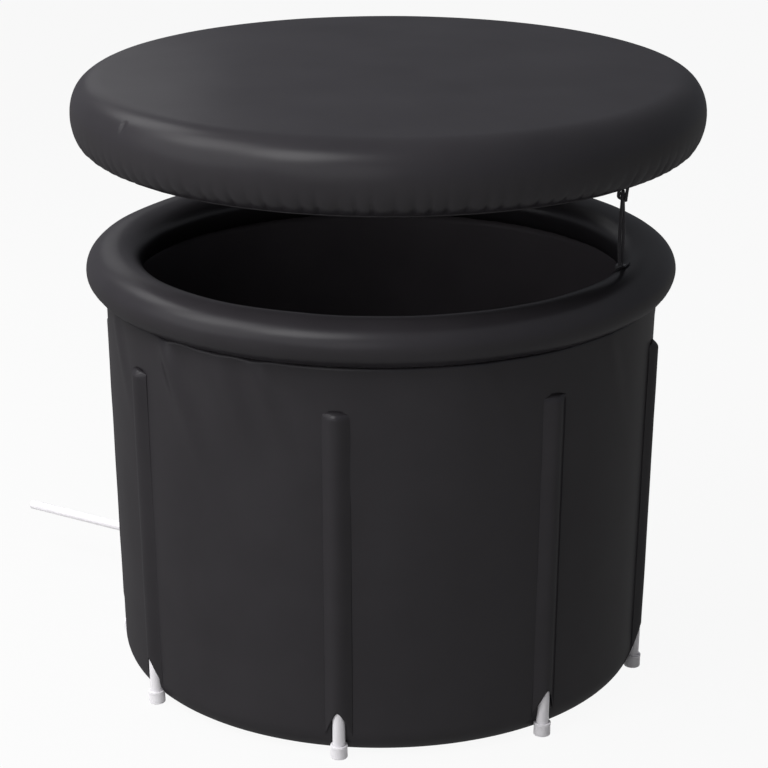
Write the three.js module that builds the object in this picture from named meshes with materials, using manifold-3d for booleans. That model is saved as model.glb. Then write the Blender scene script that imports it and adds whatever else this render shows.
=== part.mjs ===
// Portable cold plunge tub with an inflated rim ring, an inflated lid and eight pole sleeves.
// Millimetres, +Z up. The origin is on the tub's axis, on the floor, and the front faces -Y.
import * as THREE from "three";
import { mergeVertices } from "three/addons/utils/BufferGeometryUtils.js";
import Module from "manifold-3d";

const wasm = await Module();
wasm.setup();

// Clearance between pieces that touch or are welded, and the facets of a full turn
const gap = 0.3;
const roundFacets = 48;
const smallFacets = 16;
const arcFacets = 7;
const mergeTolerance = 1e-3;

// Tub wall: radius at the floor and at the height of the rim's centre, layers from outside to inside
const wallFootRadius = 431.6;
const wallTopRadius = 447.4;
const cornerRadius = 46;
const cornerSteps = 4;
const skinThickness = 1.5;
const foamBehindPole = 4.5;
const linerThickness = 1.5;
const linerCornerRadius = 30;
const floorThickness = 2;
const floorFoamThickness = 12;

// Rim ring: an inflated tube of oval section, set in from the wall
const rimHeight = 679;
const rimInset = 16.4;
const rimHalfWidth = 46.5;
const rimHalfHeight = 37.5;
const rimSkin = 2;
const rimSides = 16;
const rimInnerSides = 8;

// Poles with foot caps, in sleeves on the wall, each at an azimuth from the front towards +X
const poleAzimuths = [23.2, 68, 109, 156, 203, 249.5, 296, 334.5];
const poleDiameter = 20;
const poleWall = 2;
const poleSides = 12;
const poleClearance = 0.6;
const footCapDiameter = 27;
const footCapHeight = 21;
const footCapFloor = 4;
const footCapChamfer = 2;
const footCapRoom = 1.2;
const sleeveSkin = 1.1;
const sleeveHalfWidth = 20;
const sleeveFlange = 3;
const sleeveClimb = 36;
const sleeveDrop = 66;
const sleeveMouthHeight = 80;
const sleeveMouthSlant = 24;
const poleTopRoom = 3;

// Lid: crowned top, rounded edge, underside with a shallow belly, two ring webs inside
const lidOverhang = 27;
const lidThickness = 111;
const lidHover = 163;
const lidEdgeDepth = 40;
const lidCrown = 7;
const lidBelly = 6;
const lidSkin = 2;
const lidEdgeSteps = 10;
const lidEdgeInnerSteps = 5;
const lidTopSteps = 3;
const lidTopInnerSteps = 2;
const lidShift = new THREE.Vector2(9.8, 6.1);
const webRadii = { inner: 150, outer: 310 };
const webThickness = 2;
const webVent = 40;

// Tether: lid loop, toggle and doubled cord that turns on its way down to a bar on the rim's inner shoulder
const tetherAzimuth = 100;
const tetherRimAngle = 125;
const tetherTurns = { foot: -8, lead: -36, middle: -82, toggle: 10 };
const tetherDiameter = 5.4;
const tetherRoom = 0.6;
const tetherSides = 8;
const cordSteps = 3;
const cordLead = 18;
const bightLead = 8.8;
const cordClearance = 0.8;
const toggleDrop = 52;
const toggleLength = 17;
const toggleTilt = 22;
const toggleDiameter = 6;
const toggleTipDiameter = 3.6;
const loopLegSpread = 5.9;
const loopTopSpread = 6;
const loopLean = 7;
const loopFootSpread = 4.9;
const loopFootRise = 0.8;
const anchorLength = 15;
const anchorWidth = 12;
const anchorRise = 3;
const patchLength = 22;
const patchWidth = 26;
const patchThickness = 1.5;

// Air valves: a welded base with a collar, and a pull-out plug cap
const valveFlangeDiameter = 34;
const valveFlangeThickness = 2.5;
const valveCollarDiameter = 20;
const valveCollarDepth = 11;
const valveBore = 14;
const valvePlugDepth = 8;
const valveCapDiameter = 24;
const valveCapThickness = 4;
const valveTabLength = 9;
const valveTabWidth = 10;

// Drain on -X: fitting through the wall, quarter-turn ball valve and pipe
const drainHeight = 92;
const drainThreadDiameter = 25;
const drainBore = 17;
const drainFlangeDiameter = 58;
const drainFlangeThickness = 4;
const drainGasketThickness = 3;
const strainerDiameter = 46;
const strainerThickness = 3;
const strainerSlots = 5;
const strainerSlotWidth = 2;
const lockNutFlats = 38;
const lockNutThickness = 9;
const threadEngagement = 12;
const valveBodyDiameter = 36;
const valveBodyNeck = 34;
const valveNeckShoulder = 4;
const ballDiameter = 24;
const ballBore = 12;
const ballClearance = 0.9;
const ballSeat = 2;
const stemDiameter = 8;
const leverHeight = 14;
const leverLength = 52;
const leverWidth = 12;
const leverThickness = 5;
const leverHubDiameter = 18;
const outletDepth = 18;
const outletDiameter = 24;
const pipeDiameter = 16;
const pipeWall = 2;
const pipeEnd = 759;

const finish = (color, roughness) => new THREE.MeshStandardMaterial({ color, roughness, metalness: 0 });
const blackLaminate = finish(0x2e2a2d, 0.5);
const blackLiner = finish(0x151316, 0.6);
const paleFoam = finish(0xb8b8b4, 0.9);
const whitePlastic = finish(0xe6e3e8, 0.35);
const blackPlastic = finish(0x17161a, 0.45);
const blackCord = finish(0x121113, 0.8);
const greyRubber = finish(0x38383a, 0.85);

const point = (x, y) => new THREE.Vector2(x, y);
const turn = THREE.MathUtils.degToRad;

// Closed surface of revolution about Z from a profile of (radius, height) points, anticlockwise.
// The last column takes the first column's exact points, so that the seam closes at any size.
function lathe(profile, facets = roundFacets) {
  const turned = new THREE.LatheGeometry(profile, facets);
  const { array, itemSize } = turned.attributes.position;
  const column = itemSize * profile.length;
  array.copyWithin(facets * column, 0, column);
  return turned.rotateX(Math.PI / 2);
}

function rod(radius, from, to, facets = smallFacets) {
  return lathe([point(0, from), point(radius, from), point(radius, to), point(0, to)], facets);
}

function ring(outer, inner, from, to, facets = smallFacets) {
  const corners = [point(inner, from), point(outer, from), point(outer, to), point(inner, to)];
  return lathe([...corners, point(inner, from)], facets);
}

function block(from, to) {
  const size = new THREE.Vector3().subVectors(to, from);
  const centre = new THREE.Vector3().addVectors(from, to).multiplyScalar(0.5);
  return new THREE.BoxGeometry(size.x, size.y, size.z).translate(centre.x, centre.y, centre.z);
}

function prism(shape, from, to) {
  const options = { depth: to - from, bevelEnabled: false, curveSegments: arcFacets };
  return new THREE.ExtrudeGeometry(shape, options).translate(0, 0, from);
}

function tube(points, diameter) {
  const path = new THREE.CatmullRomCurve3(points);
  const section = new THREE.Shape();
  for (let side = 0; side < tetherSides; side++) {
    const a = (2 * Math.PI * side) / tetherSides;
    const corner = point((diameter / 2) * Math.cos(a), (diameter / 2) * Math.sin(a));
    if (side === 0) section.moveTo(corner.x, corner.y);
    else section.lineTo(corner.x, corner.y);
  }
  const steps = cordSteps * (points.length - 1);
  return new THREE.ExtrudeGeometry(section, { steps, extrudePath: path, bevelEnabled: false });
}

function solid(geometry) {
  const bare = geometry.clone();
  bare.deleteAttribute("normal");
  bare.deleteAttribute("uv");
  const { index, attributes } = mergeVertices(bare, mergeTolerance);
  const triVerts = new Uint32Array(index.array);
  const mesh = new wasm.Mesh({ numProp: 3, vertProperties: attributes.position.array, triVerts });
  return new wasm.Manifold(mesh);
}

function geometryOf(made) {
  const { vertProperties, triVerts } = made.getMesh();
  return new THREE.BufferGeometry()
    .setAttribute("position", new THREE.BufferAttribute(vertProperties, 3))
    .setIndex(new THREE.BufferAttribute(triVerts, 1));
}

const cut = (base, ...tools) => tools.reduce((left, tool) => left.subtract(solid(tool)), base);

const tub = new THREE.Group();

function add(parent, name, geometry, material) {
  const mesh = new THREE.Mesh(geometry, material);
  mesh.name = name;
  parent.add(mesh);
  return mesh;
}

// Wall radius at a height, and the lean that the poles share with it
const wallSlope = (wallTopRadius - wallFootRadius) / rimHeight;
const wallLean = Math.atan(wallSlope);
const wallRadius = (z) => wallFootRadius + wallSlope * z;
const widestRadius = Math.max(wallFootRadius, wallTopRadius);

// Rim section, and the heights of its upper and lower surfaces at a radius
const rimRadius = wallTopRadius - rimInset;
const rimTop = rimHeight + rimHalfHeight;
const rimRise = (r) => rimHalfHeight * Math.sqrt(1 - ((r - rimRadius) / rimHalfWidth) ** 2);
const rimUnder = (r) => rimHeight - rimRise(r);

function rimSection(grow, sides) {
  const section = [];
  for (let side = 0; side <= sides; side++) {
    const a = (2 * Math.PI * side) / sides;
    const r = rimRadius + (rimHalfWidth + grow) * Math.cos(a);
    section.push(point(r, rimHeight + (rimHalfHeight + grow) * Math.sin(a)));
  }
  return section;
}

const rimSolid = (grow, sides = rimSides) => lathe(rimSection(grow, sides));

// Wall contour from the floor up round the lower corner to the rim, set in by a distance
function wallContour(inset, top) {
  const contour = [];
  const centre = wallRadius(cornerRadius) - cornerRadius;
  for (let step = 0; step <= cornerSteps; step++) {
    const a = ((step / cornerSteps - 1) * Math.PI) / 2;
    const reach = cornerRadius - inset;
    contour.push(point(centre + reach * Math.cos(a), cornerRadius + reach * Math.sin(a)));
  }
  contour.push(point(wallRadius(top) - inset, top));
  return contour;
}

function wallTop(inset) {
  const r = wallRadius(rimHeight - rimHalfHeight) - inset;
  return rimUnder(r) - gap;
}

const floorRadius = wallRadius(cornerRadius) - cornerRadius - gap;
const wallCore = (inset) => {
  const top = wallTop(inset);
  const contour = wallContour(inset, top);
  return solid(lathe([point(0, contour[0].y), ...contour, point(0, top)]));
};

// Pole grooves and foot cap pockets, turned into the wall and grown by a layer's thickness
const poleRadius = poleDiameter / 2;
const sleeveTop = rimHeight - rimHalfHeight - sleeveDrop;
const poleTop = sleeveTop - sleeveSkin - poleTopRoom;
const poleAngles = poleAzimuths.map(turn);
const grooveRadius = poleRadius + poleClearance;
const pocketRadius = footCapDiameter / 2 + footCapRoom;

function atPole(geometry, angle) {
  return geometry
    .rotateX(wallLean)
    .translate(0, -wallFootRadius, 0)
    .rotateZ(angle);
}

function grooves(grow) {
  const below = -cornerRadius;
  return poleAngles.flatMap((angle) => [
    atPole(rod(grooveRadius + grow, below, poleTop + poleClearance + grow, poleSides), angle),
    atPole(rod(pocketRadius + grow, below, footCapHeight + footCapRoom + grow, poleSides), angle),
  ]);
}

const drainHole = (radius) =>
  rod(radius, 0, widestRadius + footCapDiameter).rotateY(-Math.PI / 2).translate(0, 0, drainHeight);

// Layers of the wall and floor
const foamThickness = grooveRadius + skinThickness + foamBehindPole;
const foamInset = skinThickness + gap;
const linerInset = foamInset + foamThickness + gap;
const linerFloor = floorThickness + floorFoamThickness + 2 * gap;
const tubInset = linerInset + linerThickness;

function outerSkin() {
  const outside = cut(wallCore(0), ...grooves(0));
  const inside = cut(wallCore(skinThickness), ...grooves(skinThickness));
  const aboveLip = block(
    new THREE.Vector3(-widestRadius, -widestRadius, wallTop(0)),
    new THREE.Vector3(widestRadius, widestRadius, rimTop),
  );
  const mouth = rod(floorRadius + gap, -floorThickness, cornerRadius, roundFacets);
  const openRadius = wallRadius(wallTop(0)) - skinThickness;
  const open = rod(openRadius, wallTop(skinThickness) - gap, rimTop, roundFacets);
  const hole = drainHole(drainThreadDiameter / 2 + gap);
  return cut(outside.subtract(inside), mouth, open, aboveLip, hole);
}

function wallFoam() {
  const bottom = footCapHeight + footCapRoom + skinThickness + 2 * gap + foamBehindPole;
  const top = wallTop(foamInset + foamThickness);
  const well = [
    point(0, 0),
    point(wallRadius(0) - foamInset - foamThickness, 0),
    point(wallRadius(rimTop) - foamInset - foamThickness, rimTop),
    point(0, rimTop),
  ];
  const base = rod(widestRadius, -cornerRadius, bottom, roundFacets);
  const above = rod(widestRadius, top, rimTop, roundFacets);
  const hole = drainHole(drainThreadDiameter / 2 + gap);
  return cut(wallCore(foamInset), ...grooves(foamInset), lathe(well), base, above, hole);
}

function linerContour(inset) {
  const lineRadius = (z) => wallRadius(z) - linerInset - inset;
  const centreHeight = linerFloor + linerCornerRadius;
  const reach = linerCornerRadius - inset;
  const centre = wallRadius(centreHeight) - linerInset - linerCornerRadius;
  const top = wallTop(linerInset + linerThickness);
  const contour = [point(0, linerFloor + inset)];
  for (let step = 0; step <= cornerSteps; step++) {
    const a = ((step / cornerSteps - 1) * Math.PI) / 2;
    contour.push(point(centre + reach * Math.cos(a), centreHeight + reach * Math.sin(a)));
  }
  contour.push(point(lineRadius(top), top));
  return contour;
}

function innerLiner() {
  const profile = [...linerContour(0), ...linerContour(linerThickness).reverse()];
  return cut(solid(lathe(profile)), drainHole(drainThreadDiameter / 2 + gap));
}

add(tub, "outer_skin", geometryOf(outerSkin()), blackLaminate);
add(tub, "wall_foam", geometryOf(wallFoam()), paleFoam);
add(tub, "inner_liner", geometryOf(innerLiner()), blackLiner);
add(tub, "floor_panel", rod(floorRadius, 0, floorThickness, roundFacets), blackLaminate);
const floorFoamTop = floorThickness + gap + floorFoamThickness;
const floorFoam = rod(floorRadius - gap, floorThickness + gap, floorFoamTop, roundFacets);
add(tub, "floor_foam", floorFoam, paleFoam);

// Rim ring with its air valve at the back
const valveCollarHole = valveCollarDiameter / 2 + gap;
const towardsBack = (geometry) => geometry.rotateX(-Math.PI / 2).translate(0, 0, rimHeight);
const rimOuter = rimRadius + rimHalfWidth;
const valveFace = rimOuter + valveFlangeThickness;

const rimPort = towardsBack(rod(valveCollarHole, rimRadius, rimOuter + valveFlangeThickness));
const rimTube = cut(solid(rimSolid(0)), rimSolid(-rimSkin, rimInnerSides), rimPort);
add(tub, "rim_tube", geometryOf(rimTube), blackLaminate);

const rimSaddle = towardsBack(rod(valveFlangeDiameter / 2, rimOuter - valveCollarDepth, valveFace));
const rimCollar = towardsBack(rod(valveCollarDiameter / 2, valveFace - valveCollarDepth, valveFace));
const rimValveBore = towardsBack(rod(valveBore / 2, rimRadius, valveFace + gap));
const rimValve = cut(cut(solid(rimSaddle), rimSolid(gap)).add(solid(rimCollar)), rimValveBore);
add(tub, "rim_valve_base", geometryOf(rimValve), blackPlastic);

// Plug cap with a pull tab, along +Z from the valve's outer face
function valveCap() {
  const plug = solid(rod(valveBore / 2 - gap, -valvePlugDepth, gap + valveCapThickness));
  const head = solid(rod(valveCapDiameter / 2, gap, gap + valveCapThickness));
  const tabReach = valveCapDiameter / 2 + valveTabLength;
  const tab = solid(
    block(
      new THREE.Vector3(0, -valveTabWidth / 2, gap + valveCapThickness / 2),
      new THREE.Vector3(tabReach, valveTabWidth / 2, gap + valveCapThickness),
    ),
  );
  return geometryOf(plug.add(head).add(tab));
}

add(tub, "rim_valve_cap", valveCap().translate(0, 0, valveFace), blackPlastic)
  .geometry.rotateX(-Math.PI / 2)
  .translate(0, 0, rimHeight);

// Poles, foot caps and sleeves: each stands in a group that leans with the wall
const footLift = (footCapDiameter / 2) * Math.sin(wallLean);

function footCapProfile() {
  const r = footCapDiameter / 2;
  const bore = poleRadius + gap;
  return [
    point(0, 0),
    point(r - footCapChamfer, 0),
    point(r, footCapChamfer),
    point(r, footCapHeight - footCapChamfer / 2),
    point(r - footCapChamfer / 2, footCapHeight),
    point(bore, footCapHeight),
    point(bore, footCapFloor),
    point(0, footCapFloor),
  ];
}

// Sleeve section across the wall, u outwards and v along the wall: an arch over the pole, with flat flanges
const sleeveFlat = sleeveHalfWidth - sleeveFlange;

function archOver(shape, radius, foot) {
  const climb = turn(sleeveClimb);
  shape.lineTo(-sleeveFlat, -foot);
  shape.absarc(0, 0, radius, Math.PI + climb, 2 * Math.PI - climb, false);
  shape.lineTo(sleeveFlat, -foot);
}

function sleeveShape() {
  const foot = gap + sleeveSkin;
  const shape = new THREE.Shape();
  shape.moveTo(-sleeveHalfWidth, -gap);
  shape.lineTo(-sleeveHalfWidth, -foot);
  archOver(shape, grooveRadius + sleeveSkin, foot);
  shape.lineTo(sleeveHalfWidth, -foot);
  shape.lineTo(sleeveHalfWidth, -gap);
  return shape;
}

function sleeveBore() {
  const shape = new THREE.Shape();
  shape.moveTo(-sleeveFlat, gap);
  archOver(shape, grooveRadius, gap);
  shape.lineTo(sleeveFlat, gap);
  return shape;
}

function sleeve() {
  const low = sleeveMouthHeight - 2 * sleeveMouthSlant;
  const outer = solid(prism(sleeveShape(), low, sleeveTop));
  const bore = solid(prism(sleeveBore(), low - gap, sleeveTop - sleeveSkin));
  const slant = Math.atan2(sleeveMouthSlant, grooveRadius);
  const cutter = new THREE.BoxGeometry(4 * sleeveHalfWidth, 2 * sleeveTop, sleeveTop)
    .translate(0, 0, -sleeveTop / 2)
    .rotateX(-slant)
    .translate(0, -grooveRadius, sleeveMouthHeight);
  return geometryOf(cut(outer.subtract(bore), cutter));
}

const capGeometry = lathe(footCapProfile(), poleSides).translate(0, 0, footLift);
const poleFoot = footLift + footCapFloor + gap;
const poleGeometry = ring(poleRadius, poleRadius - poleWall, poleFoot, poleTop, poleSides);
const sleeveGeometry = sleeve();

poleAngles.forEach((angle, i) => {
  const corner = new THREE.Group();
  corner.rotation.z = angle;
  const stand = new THREE.Group();
  stand.position.y = -wallFootRadius;
  stand.rotation.x = wallLean;
  add(stand, `support_pole_${i + 1}`, poleGeometry, whitePlastic);
  add(stand, `foot_cap_${i + 1}`, capGeometry, whitePlastic);
  add(stand, `pole_sleeve_${i + 1}`, sleeveGeometry, blackLaminate);
  corner.add(stand);
  tub.add(corner);
});

// Lid, placed by its own group above the rim
const lidRadius = rimOuter + lidOverhang;
const lidUnder = rimTop + lidHover;
const lid = new THREE.Group();
lid.position.set(lidShift.x, lidShift.y, lidUnder);
tub.add(lid);

const lidFlat = lidRadius - lidEdgeDepth;
const mouthRadius = rimRadius - rimHalfWidth;
const lidCrownAt = (r) => lidThickness + lidCrown * (1 - (r / lidFlat) ** 2);
const lidBellyAt = (r) => (r < mouthRadius ? -lidBelly * (1 - (r / mouthRadius) ** 2) ** 2 : 0);

function lidTopContour(inset, edgeSteps, topSteps) {
  const contour = [];
  const half = lidThickness / 2;
  for (let step = 0; step <= edgeSteps; step++) {
    const a = (step / edgeSteps - 0.5) * Math.PI;
    const r = lidFlat + (lidEdgeDepth - inset) * Math.cos(a);
    contour.push(point(r, half + (half - inset) * Math.sin(a)));
  }
  for (let step = 1; step <= topSteps; step++) {
    const r = lidFlat * (1 - step / topSteps);
    contour.push(point(r, lidCrownAt(r) - inset));
  }
  return contour;
}

function lidBottomContour(lift) {
  const contour = [];
  for (let step = 0; step <= lidTopInnerSteps; step++) {
    const r = (mouthRadius * step) / lidTopInnerSteps;
    contour.push(point(r, lidBellyAt(r) + lift));
  }
  contour.push(point(lidFlat - gap, lift));
  return contour;
}

const lidOutside = lidTopContour(0, lidEdgeSteps, lidTopSteps);
const lidInside = lidTopContour(lidSkin, lidEdgeInnerSteps, lidTopInnerSteps).reverse();
const lidTopProfile = [...lidOutside, ...lidInside, lidOutside[0]];
add(lid, "lid_top", lathe(lidTopProfile), blackLaminate);

const lidBottomProfile = [...lidBottomContour(0), ...lidBottomContour(lidSkin).reverse()];
const lidPort = rod(valveCollarHole, -valveCollarDepth, valveCollarDepth);
const lidBottom = cut(solid(lathe(lidBottomProfile)), lidPort.translate(0, 0, -lidBelly));
add(lid, "lid_bottom", geometryOf(lidBottom), blackLaminate);

function lidWeb(radius) {
  const low = lidSkin + gap;
  const high = lidCrownAt(radius) - lidSkin - 2 * gap;
  const middle = (low + high) / 2;
  const vent = () => rod(webVent / 2, -lidRadius, lidRadius, smallFacets / 2);
  const vents = [vent().rotateX(Math.PI / 2), vent().rotateY(Math.PI / 2)];
  const wall = ring(radius, radius - webThickness, low, high, roundFacets);
  return geometryOf(cut(solid(wall), ...vents.map((hole) => hole.translate(0, 0, middle))));
}

for (const [place, radius] of Object.entries(webRadii)) {
  add(lid, `lid_web_${place}`, lidWeb(radius), blackLiner);
}

const lidValveFace = -lidBelly - gap - valveFlangeThickness;
const lidFlange = solid(rod(valveFlangeDiameter / 2, lidValveFace, -lidBelly - gap));
const lidCollar = solid(rod(valveCollarDiameter / 2, lidValveFace, lidValveFace + valveCollarDepth));
const lidBore = rod(valveBore / 2, lidValveFace - gap, lidValveFace + valveCollarDepth + gap);
add(lid, "lid_valve_base", geometryOf(cut(lidFlange.add(lidCollar), lidBore)), blackPlastic);
const lidCap = valveCap().rotateX(Math.PI).translate(0, 0, lidValveFace);
add(lid, "lid_valve_cap", lidCap, blackPlastic);

// Tether, in a group on the rim's shoulder: u radial outwards, v along the rim, z up from the floor
const tetherRadius = rimRadius + rimHalfWidth * Math.cos(turn(tetherRimAngle));
const anchorSeat = rimHeight + rimHalfHeight * Math.sin(turn(tetherRimAngle));
const tether = new THREE.Group();
tether.rotation.z = turn(tetherAzimuth - 90);
tub.add(tether);
const atTether = (u, v, z) => new THREE.Vector3(tetherRadius + u, v, z);
const atTurn = (degrees, u, v, z) => {
  const spot = point(u, v).rotateAround(point(0, 0), turn(degrees));
  return atTether(spot.x, spot.y, z);
};

const shoulder = (grow) => rimSolid(grow).rotateZ(turn(90 - tetherAzimuth));
const patchTop = gap + patchThickness;
const patchReach = rimHalfHeight / 2;
const patchBlock = block(
  atTether(-patchLength / 2, -patchWidth / 2, anchorSeat - patchReach),
  atTether(patchLength / 2, patchWidth / 2, anchorSeat + patchReach),
);
const patchShell = solid(patchBlock)
  .intersect(solid(shoulder(patchTop)))
  .subtract(solid(shoulder(gap)));
add(tether, "rim_anchor_patch", geometryOf(patchShell), blackLaminate);

const anchorTop = anchorSeat + patchTop + anchorRise;
const anchorBlock = block(
  atTether(-anchorLength / 2, -anchorWidth / 2, anchorSeat - patchReach),
  atTether(anchorLength / 2, anchorWidth / 2, anchorTop),
);
const anchorBar = cut(solid(anchorBlock), shoulder(patchTop + gap));
add(tether, "rim_anchor_bar", geometryOf(anchorBar), blackPlastic);

// The cord rises from the bar, goes over the toggle and comes back down beside itself
const toggleHeight = lidUnder - toggleDrop;
const cordRadius = tetherDiameter / 2;
const bight = toggleDiameter / 2 + cordClearance + cordRadius;
const cordFoot = anchorTop + gap;
const tetherSpread = cordRadius + tetherRoom / 2;
const cordSide = (side) => [
  atTurn(tetherTurns.foot, 0, side * tetherSpread, cordFoot),
  atTurn(tetherTurns.lead, 0, side * tetherSpread, cordFoot + cordLead),
  atTurn(tetherTurns.middle, 0, side * tetherSpread, (cordFoot + toggleHeight) / 2),
  atTurn(tetherTurns.toggle, 0, side * bight, toggleHeight - bightLead),
  atTurn(tetherTurns.toggle, 0, side * bight, toggleHeight),
  atTurn(tetherTurns.toggle, 0, side * bight * Math.SQRT1_2, toggleHeight + bight * Math.SQRT1_2),
];
const cordTop = atTurn(tetherTurns.toggle, 0, 0, toggleHeight + bight);
const cordPoints = [...cordSide(-1), cordTop, ...cordSide(1).reverse()];
add(tether, "tether_cord", tube(cordPoints, tetherDiameter), blackCord);

function toggleProfile() {
  const half = toggleLength / 2;
  const r = toggleDiameter / 2;
  const tip = toggleTipDiameter / 2;
  return [
    point(0, -half),
    point(tip, -half),
    point(r, r - half),
    point(r, half - r),
    point(tip, half),
    point(0, half),
  ];
}

const toggle = lathe(toggleProfile(), smallFacets)
  .rotateY(Math.PI / 2 + turn(toggleTilt))
  .rotateZ(turn(tetherTurns.toggle))
  .translate(tetherRadius, 0, toggleHeight);
add(tether, "toggle_bar", toggle, blackPlastic);

// The lid's loop comes down beside the toggle and passes under it, through the cord's bight
const loopTop = lidUnder - gap;
const loopLow = toggleHeight - toggleDiameter / 2 - cordClearance - cordRadius;
const loopSide = -(toggleDiameter / 2 + cordClearance + cordRadius);
const atLoop = (u, v, z) => atTurn(tetherTurns.toggle, u, v, z);
const alongToggle = (u, v, z) => atLoop(u, v, z - u * Math.tan(turn(toggleTilt)));
const loopLeg = (side) => [
  atLoop(side * loopTopSpread + loopLean, loopSide, loopTop),
  atLoop(side * loopTopSpread + loopLean, loopSide, loopTop - bightLead),
  atLoop(side * loopLegSpread + loopLean / 2, loopSide, (loopTop + toggleHeight) / 2),
  alongToggle(side * loopLegSpread, loopSide, toggleHeight),
  alongToggle(side * loopFootSpread, loopSide / 2, loopLow + loopFootRise),
];
const loopPoints = [...loopLeg(-1), atLoop(0, 0, loopLow), ...loopLeg(1).reverse()];
add(tether, "lid_loop", tube(loopPoints, tetherDiameter), blackCord);

// Drain, in a group whose +Z runs outwards along -X and whose +X is up
const drain = new THREE.Group();
drain.position.z = drainHeight;
drain.rotation.y = -Math.PI / 2;
tub.add(drain);

const drainWall = wallRadius(drainHeight);
const drainInside = drainWall - tubInset;
const threadRadius = drainThreadDiameter / 2;
const wallAround = (from, to) => {
  const low = -cornerRadius;
  const high = drainHeight + drainFlangeDiameter;
  const face = (inset, z) => point(wallRadius(z) - inset, z);
  const profile = [face(to, low), face(from, low), face(from, high), face(to, high), face(to, low)];
  return lathe(profile).translate(0, 0, -drainHeight).rotateY(Math.PI / 2);
};
const wallKeepOut = wallAround(-gap, tubInset + gap);

const innerSeat = drainInside - gap - drainGasketThickness;
const innerGasket = ring(drainFlangeDiameter / 2, threadRadius + gap, innerSeat, drainInside + gap);
add(drain, "drain_inner_gasket", geometryOf(cut(solid(innerGasket), wallKeepOut)), greyRubber);

const outerSeat = drainWall + gap + drainGasketThickness;
const outerGasket = ring(lockNutFlats / 2, threadRadius + gap, drainWall - drainGasketThickness, outerSeat);
add(drain, "drain_outer_gasket", geometryOf(cut(solid(outerGasket), wallKeepOut)), greyRubber);

const nutSeat = outerSeat + gap;
const nutFace = nutSeat + lockNutThickness;
const bodySeat = nutFace + gap;
const flangeFace = innerSeat - gap;
const threadEnd = bodySeat + threadEngagement;
const flangeProfile = [
  point(drainBore / 2, flangeFace - drainFlangeThickness),
  point(drainFlangeDiameter / 2, flangeFace - drainFlangeThickness),
  point(drainFlangeDiameter / 2, flangeFace),
  point(threadRadius, flangeFace),
  point(threadRadius, threadEnd),
  point(drainBore / 2, threadEnd),
  point(drainBore / 2, flangeFace - drainFlangeThickness),
];
add(drain, "drain_flange", lathe(flangeProfile, smallFacets), blackPlastic);

const strainerFace = flangeFace - drainFlangeThickness - gap;
const strainerDisc = rod(strainerDiameter / 2, strainerFace - strainerThickness, strainerFace);
const slotPitch = drainBore / strainerSlots;
const slots = Array.from({ length: strainerSlots }, (_, i) => {
  const across = (i - (strainerSlots - 1) / 2) * slotPitch;
  const halfSlot = strainerSlotWidth / 2;
  const half = drainBore / 2;
  return block(
    new THREE.Vector3(-half, across - halfSlot, strainerFace - 2 * strainerThickness),
    new THREE.Vector3(half, across + halfSlot, strainerFace + strainerThickness),
  );
});
add(drain, "drain_strainer", geometryOf(cut(solid(strainerDisc), ...slots)), blackPlastic);

const hexRadius = lockNutFlats / Math.sqrt(3);
const hexSides = 6;
const nutBlank = solid(rod(hexRadius, nutSeat, nutFace, hexSides));
const nutBore = rod(threadRadius + gap, nutSeat - gap, nutFace + gap);
add(drain, "drain_lock_nut", geometryOf(cut(nutBlank, nutBore)), blackPlastic);

// Valve body: socket on the thread, chamber round the ball, outlet socket for the pipe
const socketEnd = threadEnd + gap;
const chamberRadius = ballDiameter / 2 + ballClearance;
const chamberCentre = socketEnd + ballSeat + chamberRadius;
const outletSeat = chamberCentre + chamberRadius + ballSeat;
const bodyEnd = outletSeat + outletDepth;
const bodyRadius = valveBodyDiameter / 2;
const bodyShell = [
  point(0, bodySeat),
  point(valveBodyNeck / 2, bodySeat),
  point(valveBodyNeck / 2, socketEnd - valveNeckShoulder),
  point(bodyRadius, chamberCentre - chamberRadius),
  point(bodyRadius, chamberCentre + chamberRadius),
  point(outletDiameter / 2, outletSeat + ballSeat),
  point(outletDiameter / 2, bodyEnd),
  point(0, bodyEnd),
];
const leverSeat = bodyRadius + leverHeight;
const alongStem = (geometry) => geometry.rotateY(Math.PI / 2).translate(0, 0, chamberCentre);
const stemHole = alongStem(rod(stemDiameter / 2 + gap, 0, leverSeat));
const stemBoss = alongStem(rod(stemDiameter, 0, bodyRadius + leverHeight / 2));
const chamber = new THREE.SphereGeometry(chamberRadius, smallFacets, smallFacets / 2);
const body = cut(
  solid(lathe(bodyShell, smallFacets)).add(solid(stemBoss)),
  rod(threadRadius + gap, bodySeat - gap, socketEnd),
  rod(ballBore / 2, bodySeat, bodyEnd),
  chamber.translate(0, 0, chamberCentre),
  rod(pipeDiameter / 2 + gap, outletSeat, bodyEnd + gap),
  stemHole,
);
add(drain, "drain_valve_body", geometryOf(body), whitePlastic);

const ball = cut(
  solid(new THREE.SphereGeometry(ballDiameter / 2, smallFacets, smallFacets / 2)),
  rod(ballBore / 2, -ballDiameter, ballDiameter).rotateX(Math.PI / 2),
);
add(drain, "drain_ball", geometryOf(ball), whitePlastic).position.z = chamberCentre;

const stem = rod(stemDiameter / 2, ballDiameter / 2 + gap, leverSeat - gap).rotateY(Math.PI / 2);
add(drain, "drain_stem", stem, whitePlastic).position.z = chamberCentre;

const hub = solid(rod(leverHubDiameter / 2, leverSeat, leverSeat + leverThickness));
const grip = new THREE.Shape();
const gripEnd = leverLength - leverWidth / 2;
grip.moveTo(-leverWidth / 2, 0);
grip.lineTo(leverWidth / 2, 0);
grip.lineTo(leverWidth / 2, gripEnd);
grip.absarc(0, gripEnd, leverWidth / 2, 0, Math.PI, false);
const lever = hub.add(solid(prism(grip, leverSeat, leverSeat + leverThickness)));
const leverGeometry = geometryOf(lever).rotateY(Math.PI / 2);
add(drain, "drain_lever", leverGeometry, blackPlastic).position.z = chamberCentre;

const pipe = ring(pipeDiameter / 2, pipeDiameter / 2 - pipeWall, outletSeat + gap, pipeEnd);
add(drain, "drain_pipe", pipe, whitePlastic);

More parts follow.
